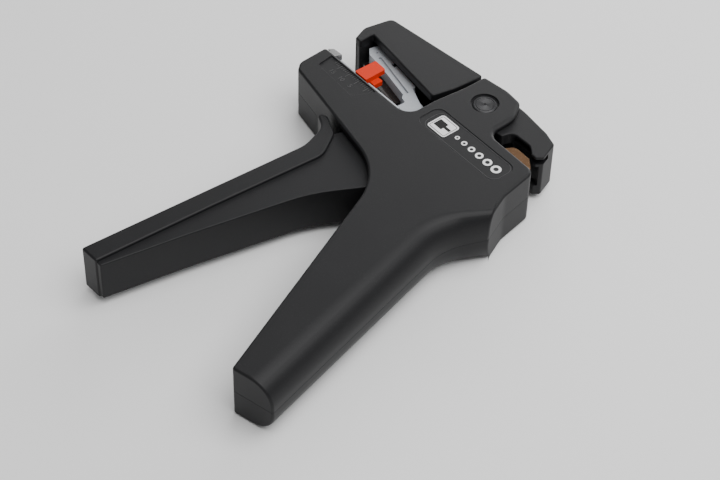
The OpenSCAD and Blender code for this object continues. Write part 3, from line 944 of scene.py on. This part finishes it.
REPAINTS = {
    "thrust_washers": "zinc_steel", "shell_screws": "zinc_steel", "spring_seat": "zinc_steel",
    "cover_screws": "zinc_steel", "rocker_bushes": "warm_brass",
    "lever_rivets": "zinc_steel", "draw_pin": "zinc_steel", "drawbar_rivets": "zinc_steel",
    "blade_screws": "zinc_steel", "stop_spring": "spring_wire",
}


class Mechanism:
    """The parts inside: each CAD node reworked with rounded edges, or repainted."""

    def __init__(self, wardrobe: Wardrobe) -> None:
        """Keep the wardrobe."""
        self.wardrobe = wardrobe

    def build(self) -> None:
        """Rework and repaint the CAD nodes."""
        for work in REWORKS:
            obj = cad_copy(work.node, work.width, work.segments)
            smooth(obj)
            self.wardrobe.dress(obj, work.finish, work.body, work.node)
        for node, finish in REPAINTS.items():
            self.wardrobe.repaint(node, finish)
            smooth_node(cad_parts[node])
        spring = cad_copy("return_spring", 0)
        smooth(spring, 60)
        self.wardrobe.dress(spring, "spring_wire", "housing", "return_spring")
        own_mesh(spring)


def smooth_node(obj: bpy.types.Object) -> None:
    """Shade a CAD node smooth up to an angle, leaving its vertices alone."""
    select_only(obj)
    bpy.ops.object.shade_smooth_by_angle(angle=math.radians(32))


# ---------------------------------------------------------------- stage


@dataclass
class Softbox:
    """One area light aimed at the tool."""

    name: str
    way: tuple[float, float, float]
    distance: float
    size: tuple[float, float]
    power: float


@dataclass
class Studio:
    """Floor, lights, world and camera."""

    centre: Vector = field(default_factory=lambda: Vector((0.0, -0.070, 0.011)))
    boxes: list[Softbox] = field(default_factory=lambda: [
        Softbox("key", (0.3, 0.2, 0.93), 0.9, (0.9, 0.9), 11.0),
        Softbox("rim", (-0.5, 0.86, 0.28), 0.9, (0.9, 0.35), 6.0),
    ])
    world_level: float = 0.35

    def floor(self) -> None:
        """Lay the plain pale floor."""
        bpy.ops.mesh.primitive_plane_add(size=6, location=(0, 0, -0.0001))
        plane = bpy.context.object
        plane.name = "floor"
        material = bpy.data.materials.new("pale_floor")
        material.use_nodes = True
        shader = material.node_tree.nodes["Principled BSDF"]
        shader.inputs["Base Color"].default_value = (0.86, 0.86, 0.86, 1)
        shader.inputs["Roughness"].default_value = 0.7
        plane.data.materials.append(material)

    def lights(self) -> None:
        """Hang the softboxes and set the world."""
        for box in self.boxes:
            way = Vector(box.way).normalized()
            bpy.ops.object.light_add(type="AREA", location=self.centre + way * box.distance)
            lamp = bpy.context.object
            lamp.name = box.name
            lamp.rotation_euler = (-way).to_track_quat("-Z", "Y").to_euler()
            lamp.data.shape = "RECTANGLE"
            lamp.data.size, lamp.data.size_y = box.size
            lamp.data.energy = box.power
        world = bpy.data.worlds.new("studio")
        bpy.context.scene.world = world
        world.use_nodes = True
        background = world.node_tree.nodes["Background"]
        background.inputs["Color"].default_value = (1, 1, 1, 1)
        background.inputs["Strength"].default_value = self.world_level

    def camera(self) -> None:
        """Stand the camera before and above the tool, slightly rolled."""
        place, target = Vector((0.38765, -0.38396, 0.50776)), Vector((0.0253, -0.0777, 0.022))
        bpy.ops.object.camera_add(location=place)
        camera = bpy.context.object
        camera.name = "camera"
        camera.data.lens = 102.5
        camera.data.sensor_width = 36
        camera.rotation_mode = "QUATERNION"
        turn = Quaternion((0, 0, 1), math.radians(1.57))
        camera.rotation_quaternion = (target - place).to_track_quat("-Z", "Y") @ turn
        bpy.context.scene.camera = camera

    def build(self) -> None:
        """Set the whole stage."""
        self.floor()
        self.lights()
        self.camera()


def main() -> None:
    """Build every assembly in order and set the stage."""
    wardrobe = Wardrobe()
    BodyShells(wardrobe).build()
    ScalePrint(wardrobe).build()
    LabelPrint(wardrobe).build()
    PivotPin(wardrobe).build()
    Rocker(wardrobe).build()
    Trigger(wardrobe).build()
    Mechanism(wardrobe).build()
    Studio().build()


if __name__ == "__main__":
    main()
